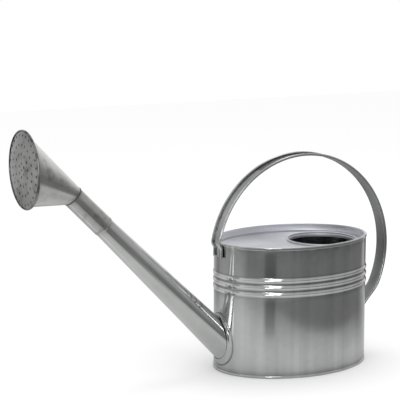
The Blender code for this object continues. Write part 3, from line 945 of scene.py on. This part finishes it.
class Sums:
    """Short ways to add arithmetic nodes to a tree."""

    def __init__(self, tree):
        self.tree = tree

    def feed(self, socket, value):
        """Give a socket a number or another node's output."""
        if isinstance(value, (int, float)):
            socket.default_value = value
        else:
            self.tree.links.new(value, socket)

    def place(self):
        """The shaded point's place in the frame, in metres."""
        return self.tree.nodes.new("ShaderNodeTexCoord").outputs["Object"]

    def mapped(self, source, **setting):
        """Coordinates moved, turned or scaled."""
        node = add_node(self.tree, "ShaderNodeMapping", **setting)
        self.tree.links.new(source, node.inputs["Vector"])
        return node.outputs["Vector"]

    def split(self, source):
        """The x, y and z of coordinates."""
        node = self.tree.nodes.new("ShaderNodeSeparateXYZ")
        self.tree.links.new(source, node.inputs["Vector"])
        return node.outputs

    def do(self, operation, *values):
        """The result of one Math node."""
        node = self.tree.nodes.new("ShaderNodeMath")
        node.operation = operation
        for socket, value in zip(node.inputs, values):
            self.feed(socket, value)
        return node.outputs["Value"]

    def add(self, first, *others):
        """The sum of two or more values."""
        for other in others:
            first = self.do("ADD", first, other)
        return first

    def times(self, first, second):
        """The product of two values."""
        return self.do("MULTIPLY", first, second)

    def spread(self, value, low, high, start=0.0, end=1.0, kind="LINEAR"):
        """Goes from low to high as the value goes from start to end, and stays there."""
        node = add_node(
            self.tree, "ShaderNodeMapRange", From_Min=start, From_Max=end, To_Min=low, To_Max=high
        )
        node.interpolation_type = kind
        self.tree.links.new(value, node.inputs["Value"])
        return node.outputs["Result"]

    def ramp(self, value, start, end, low=0.0, high=1.0):
        """Smooth step from low to high as the value goes from start to end."""
        return self.spread(value, low, high, start, end, "SMOOTHSTEP")

    def mix(self, share, first, second):
        """A blend of two values: the first at share 0, the second at share 1."""
        node = self.tree.nodes.new("ShaderNodeMix")
        for number, value in ((0, share), (2, first), (3, second)):
            self.feed(node.inputs[number], value)
        return node.outputs[0]

    def level(self, x, y):
        """Distance on the level from the origin."""
        return self.do("SQRT", self.add(self.do("POWER", x, 2), self.do("POWER", y, 2)))

    def along(self, x, y, heading):
        """Distance on the level along a heading."""
        bearing = math.radians(heading)
        return self.add(self.times(x, math.sin(bearing)), self.times(y, math.cos(bearing)))

    def towards(self, x, y, heading):
        """How much a direction points along a heading, from -1 to 1 on the level."""
        least = 0.05
        return self.do("DIVIDE", self.along(x, y, heading), self.do("MAXIMUM", self.level(x, y), least))

    def in_metal(self, plain, mirrored):
        """The plain value, but the other one for what metal mirrors."""
        path = self.tree.nodes.new("ShaderNodeLightPath")
        return self.mix(path.outputs["Is Glossy Ray"], plain, mirrored)


# -------- materials

# Frequencies of the zinc's marks, per metre
CLOUDS = 22.0
BLOTCHES = 38.0
CRYSTALS = 130.0
SPECKS = 700.0
STREAK_STRETCH = 0.35  # the streaks' frequency, times that of the rolling marks

# How much the marks lighten or darken the sheet, and the noise values between which some grow
ROLLING_SHADE = 0.04
CRYSTAL_SHADE = 0.02
STREAK_SHADE = 0.25
PIT_SHADE = 0.06
PIT_RANGE = (0.66, 0.74)
BLOTCH_RANGE = (0.5, 0.72)

# How much they change its roughness
CLOUD_GLOSS = 0.03
ROLLING_GLOSS = 0.02
GRIME_AND_SHADE_GLOSS = 0.15

# The relief: its depth in metres and the shares of the marks in it
RELIEF_STRENGTH = 0.06
RELIEF_DEPTH = 0.0006
ROLLING_RELIEF = 0.5
SPECK_RELIEF = 0.12
CLOUD_RELIEF = 0.6


def new_material(name):
    """A new material with its node tree and its shader."""
    material = bpy.data.materials.new(name)
    material.use_nodes = True
    return material, material.node_tree, material.node_tree.nodes["Principled BSDF"]


def galvanised(
    slot, colour, roughness, grain,
    tilt=0.0, cloudy=0.10, grime_and_shade_strength=0.45, blotch=0.0, brushed=0.5, turn=0.0,
):
    """Zinc-coated sheet: soft cloudy crystals, rolling marks, fine specks, and darkening from the value
    stored on each point, partly grime and partly painted shade.

    The grain gives the marks' frequency along each axis, after a turn about Y by the tilt."""
    material, tree, shader = new_material(slot)
    sums = Sums(tree)
    shader.inputs["Metallic"].default_value = 1
    shader.inputs["Anisotropic"].default_value = brushed
    shader.inputs["Anisotropic Rotation"].default_value = turn

    def cloud(source, frequency, detail, coarseness):
        """Noise from 0 to 1."""
        node = add_node(tree, "ShaderNodeTexNoise", Scale=frequency, Detail=detail, Roughness=coarseness)
        tree.links.new(source, node.inputs["Vector"])
        return node.outputs["Fac"]

    def crystal_shades(source):
        """One even value for each crystal."""
        cells = add_node(tree, "ShaderNodeTexVoronoi", Scale=CRYSTALS)
        tree.links.new(source, cells.inputs["Vector"])
        parts = tree.nodes.new("ShaderNodeSeparateColor")
        tree.links.new(cells.outputs["Color"], parts.inputs["Color"])
        return parts.outputs["Red"]

    place = sums.mapped(sums.place(), Rotation=(0, tilt, 0))
    wide_grain = [STREAK_STRETCH * frequency for frequency in grain]
    rolling = cloud(sums.mapped(place, Scale=grain), 1.0, 5.0, 0.6)
    streaks = cloud(sums.mapped(place, Scale=wide_grain), 1.0, 3.0, 0.5)
    clouds = cloud(place, CLOUDS, 4.0, 0.55)
    blotches = cloud(place, BLOTCHES, 3.0, 0.65)
    specks = cloud(place, SPECKS, 2.0, 0.5)
    grime_and_shade_node = tree.nodes.new("ShaderNodeAttribute")
    grime_and_shade_node.attribute_name = "grime_and_shade"

    shade = sums.add(
        sums.spread(clouds, 1 - cloudy, 1 + cloudy),
        sums.spread(rolling, -ROLLING_SHADE, ROLLING_SHADE),
        sums.spread(crystal_shades(place), -CRYSTAL_SHADE, CRYSTAL_SHADE),
        sums.spread(streaks, -STREAK_SHADE, STREAK_SHADE),
    )
    # Each mark darkens the sheet; the last is the value stored on each point, partly grime and partly
    # painted shade, and a painted brightening where it is below zero.
    for mark in (
        sums.spread(blotches, 0.0, blotch, *BLOTCH_RANGE),
        sums.spread(specks, 0.0, PIT_SHADE, *PIT_RANGE),
        sums.times(grime_and_shade_node.outputs["Fac"], grime_and_shade_strength),
    ):
        shade = sums.do("SUBTRACT", shade, mark)
    tint = tree.nodes.new("ShaderNodeVectorMath")
    tint.operation = "SCALE"
    tint.inputs[0].default_value = colour
    tree.links.new(shade, tint.inputs["Scale"])
    tree.links.new(tint.outputs["Vector"], shader.inputs["Base Color"])

    gloss = sums.add(
        sums.spread(clouds, roughness - CLOUD_GLOSS, roughness + CLOUD_GLOSS),
        sums.spread(rolling, -ROLLING_GLOSS, ROLLING_GLOSS),
        sums.times(grime_and_shade_node.outputs["Fac"], GRIME_AND_SHADE_GLOSS),
    )
    tree.links.new(gloss, shader.inputs["Roughness"])

    height = sums.add(
        sums.times(rolling, ROLLING_RELIEF),
        sums.times(specks, SPECK_RELIEF),
        sums.times(clouds, CLOUD_RELIEF),
    )
    bump = add_node(tree, "ShaderNodeBump", Strength=RELIEF_STRENGTH, Distance=RELIEF_DEPTH)
    tree.links.new(height, bump.inputs["Height"])
    tree.links.new(bump.outputs["Normal"], shader.inputs["Normal"])
    return material


# -------- studio

# In metres; headings are in degrees from +Y towards +X
TANK_MIDDLE = Vector((TANK_X, 0, TANK_HEIGHT / 2)) * MM
CAMERA_HEADING = 28.05
CAMERA_DROP = 9.65
CAMERA_BACK = 2.6248
CAMERA_LEFT = 0.1574
CAMERA_ABOVE = 0.1721
SENSOR_WIDTH = 36  # in millimetres, as the focal length
FOCAL_LENGTH = 135

# What metal mirrors: a room that is pale behind the can, on the left and overhead
BACKDROP_HEADING = 32
BACKDROP_WIDTH = (0.5, 1.0)
BACKDROP_FADE = (0.10, 0.45)
BACKDROP_GLOW = 0.62
LEFT_HEADING = -70
LEFT_WIDTH = (0.3, 1.0)
LEFT_GLOW = 0.15
CEILING_RISE = (0.0, 0.3)
CEILING_GLOW = (0.25, 0.50)

# and a floor that is bright round the can, like a table, and darker beyond
FLOOR_HALF = 4.0
FLOOR_WHITE = 0.97
TABLE_SHADE = 0.63
TABLE_FADE = (0.14, 0.72)
TABLE_LEFT = 0.30  # how much further the table reaches on the left
TABLE_RIGHT = 1.3  # how many times faster it ends on the right
ROOM_WIDTH = (0.35, 0.95)
ROOM_SHADE = (0.15, 0.50)
ROOM_LEFT_WIDTH = (0.6, 1.0)
ROOM_LEFT_SHADE = 0.20
FAR_FADE = (1.2, 2.2)
FAR_SHADE = 0.15
EDGE_HEADING = 148  # the side on which the table ends with a clear edge
EDGE_FADE = (0.33, 0.44)
EDGE_SHADE = 0.45
DARKEST = 0.18
BAND_FADE = 0.15

# Bands that fan out over the table: (x, y) start, heading, slope, nearest distance, gain
DARK_BAND = ((-0.092, -0.078), -150, 0.20, 0.22, -0.5)
BRIGHT_BAND = ((-0.136, -0.032), -79, 0.035, 0.22, 1.5)


def pointing(heading, rise):
    """The direction at a heading and a rise, both in degrees."""
    bearing = math.radians(heading)
    lift = math.radians(rise)
    level = math.cos(lift)
    return Vector((math.sin(bearing) * level, math.cos(bearing) * level, math.sin(lift)))


def build_camera():
    """The camera stands in front and to the left of the can, a little above it."""
    bearing = math.radians(CAMERA_HEADING)
    forward = pointing(CAMERA_HEADING, -CAMERA_DROP)
    right = Vector((math.cos(bearing), -math.sin(bearing), 0))
    above = right.cross(forward)
    data = bpy.data.cameras.new("camera")
    data.sensor_width = SENSOR_WIDTH
    data.lens = FOCAL_LENGTH
    camera = bpy.data.objects.new("camera", data)
    camera.location = TANK_MIDDLE - forward * CAMERA_BACK - right * CAMERA_LEFT + above * CAMERA_ABOVE
    camera.rotation_euler = (math.pi / 2 - math.radians(CAMERA_DROP), 0, -bearing)
    bpy.context.scene.collection.objects.link(camera)
    bpy.context.scene.camera = camera


def soft_box(name, heading, rise, distance, width, height, glow):
    """A studio light that faces the tank, with its size in metres and its radiance."""
    towards = pointing(heading, rise)
    data = bpy.data.lights.new(name, "AREA")
    data.shape = "RECTANGLE"
    data.size = width
    data.size_y = height
    data.energy = glow * math.pi * width * height
    lamp = bpy.data.objects.new(name, data)
    lamp.location = TANK_MIDDLE + towards * distance
    lamp.rotation_euler = towards.to_track_quat("Z", "Y").to_euler()
    bpy.context.scene.collection.objects.link(lamp)


def build_world():
    """White all round for the camera and for the light; metal mirrors a plain studio instead."""
    world = bpy.data.worlds.new("studio")
    bpy.context.scene.world = world
    world.use_nodes = True
    tree = world.node_tree
    sums = Sums(tree)
    x, y, z = sums.split(tree.nodes.new("ShaderNodeTexCoord").outputs["Generated"])
    backdrop = sums.times(
        sums.ramp(sums.towards(x, y, BACKDROP_HEADING), *BACKDROP_WIDTH),
        sums.ramp(z, *BACKDROP_FADE, BACKDROP_GLOW, 0.0),
    )
    left = sums.ramp(sums.towards(x, y, LEFT_HEADING), *LEFT_WIDTH, 0.0, LEFT_GLOW)
    ceiling = sums.ramp(z, *CEILING_RISE, *CEILING_GLOW)
    strength = sums.in_metal(1.0, sums.add(ceiling, backdrop, left))
    background = tree.nodes["Background"]
    background.inputs["Color"].default_value = (1, 1, 1, 1)
    tree.links.new(strength, background.inputs["Strength"])


def table_band(sums, x, y, start, heading, slope, near, gain):
    """A factor for the table's shade: 1, but 1 + gain on a band that widens from its start."""
    x = sums.do("SUBTRACT", x, start[0])
    y = sums.do("SUBTRACT", y, start[1])
    along = sums.along(x, y, heading)
    across = sums.along(x, y, heading + 90)
    least = 0.05
    side = sums.do("DIVIDE", sums.do("ABSOLUTE", across), sums.do("MAXIMUM", along, least))
    band = sums.ramp(side, 0.5 * slope, slope, 1.0, 0.0)
    band = sums.times(band, sums.ramp(along, near, near + BAND_FADE))
    return sums.add(sums.times(band, gain), 1.0)


def floor_shade(sums, x, y):
    """What metal mirrors of the floor: a bright table round the can that ends in a darker room."""
    left_part = sums.do("MINIMUM", sums.add(x, TABLE_LEFT), 0.0)
    right_part = sums.times(sums.do("MAXIMUM", x, 0.0), TABLE_RIGHT)
    away = sums.level(sums.add(left_part, right_part), y)
    room = sums.add(
        sums.ramp(sums.towards(x, y, BACKDROP_HEADING), *ROOM_WIDTH, *ROOM_SHADE),
        sums.ramp(sums.towards(x, y, LEFT_HEADING), *ROOM_LEFT_WIDTH, 0.0, ROOM_LEFT_SHADE),
        sums.ramp(away, *FAR_FADE, 0.0, FAR_SHADE),
    )
    shade = sums.mix(sums.ramp(away, *TABLE_FADE), TABLE_SHADE, room)
    shade = sums.times(shade, sums.ramp(sums.along(x, y, EDGE_HEADING), *EDGE_FADE, 1.0, EDGE_SHADE))
    shade = sums.do("MAXIMUM", shade, DARKEST)
    for band in (DARK_BAND, BRIGHT_BAND):
        shade = sums.times(shade, table_band(sums, x, y, *band))
    return shade


def floor_material():
    """Matt white, but what metal mirrors is the made-up table and room."""
    material, tree, shader = new_material("floor")
    sums = Sums(tree)
    shader.inputs["Roughness"].default_value = 1
    shader.inputs["Specular IOR Level"].default_value = 0
    x, y, _ = sums.split(sums.mapped(sums.place(), Location=(-TANK_X * MM, 0, 0)))
    shade = sums.in_metal(FLOOR_WHITE, floor_shade(sums, x, y))
    colour = tree.nodes.new("ShaderNodeCombineColor")
    for socket in colour.inputs:
        tree.links.new(shade, socket)
    tree.links.new(colour.outputs["Color"], shader.inputs["Base Color"])
    return material


def build_floor():
    """A pale floor."""
    half = FLOOR_HALF
    bm = bmesh.new()
    corners = ((-half, -half), (half, -half), (half, half), (-half, half))
    bm.faces.new([bm.verts.new((x, y, 0)) for x, y in corners])
    mesh = bpy.data.meshes.new("floor")
    bm.to_mesh(mesh)
    bm.free()
    mesh.materials.append(floor_material())
    floor = bpy.data.objects.new("floor", mesh)
    bpy.context.scene.collection.objects.link(floor)


UPRIGHT_GRAIN = (150, 150, 5)

body_zinc = galvanised("zinc_body", (0.60, 0.609, 0.605), 0.12, UPRIGHT_GRAIN, brushed=0.35, turn=0.25)
# The deck's zinc is a lighter, bluer copy of the sheet: painted light standing for the overhead light
# that the deck mirrors.
lit_deck_zinc = galvanised("zinc_deck", (0.77, 0.78, 0.82), 0.42, (30, 30, 30), cloudy=0.05)
spout_zinc = galvanised(
    "zinc_spout", (0.605, 0.614, 0.605), 0.13, UPRIGHT_GRAIN, tilt=math.radians(45), brushed=0
)
rose_zinc = galvanised("zinc_rose", (0.58, 0.588, 0.575), 0.20, (60, 60, 60), blotch=0.5, brushed=0)
handle_zinc = galvanised("zinc_handle", (0.58, 0.588, 0.585), 0.18, (40, 150, 40), grime_and_shade_strength=0.6, brushed=0)
rivet_steel = galvanised("rivet_steel", (0.55, 0.55, 0.56), 0.32, (80, 80, 80))
solder_tin = galvanised("solder", (0.32, 0.325, 0.33), 0.42, (200, 200, 200))

build_wall(body_zinc)
build_rims(body_zinc)
build_bottom(body_zinc)
build_deck(lit_deck_zinc)
build_fill_lip(lit_deck_zinc)
build_spout(spout_zinc)
build_collar(spout_zinc, solder_tin)
build_sleeve(rose_zinc, solder_tin)
build_cone(rose_zinc)
build_face(rose_zinc)
build_rose_rim(rose_zinc)
build_handle(handle_zinc)
build_rivets(rivet_steel)

build_camera()
soft_box("front_light", -156, 28, 2.6, 0.65, 1.35, 2.6)
soft_box("low_light", -147, 9, 2.6, 0.4, 0.35, 14)
soft_box("top_light", 50, 74, 2.2, 0.9, 0.9, 2)
build_world()
build_floor()

bpy.context.scene.view_settings.view_transform = "Standard"
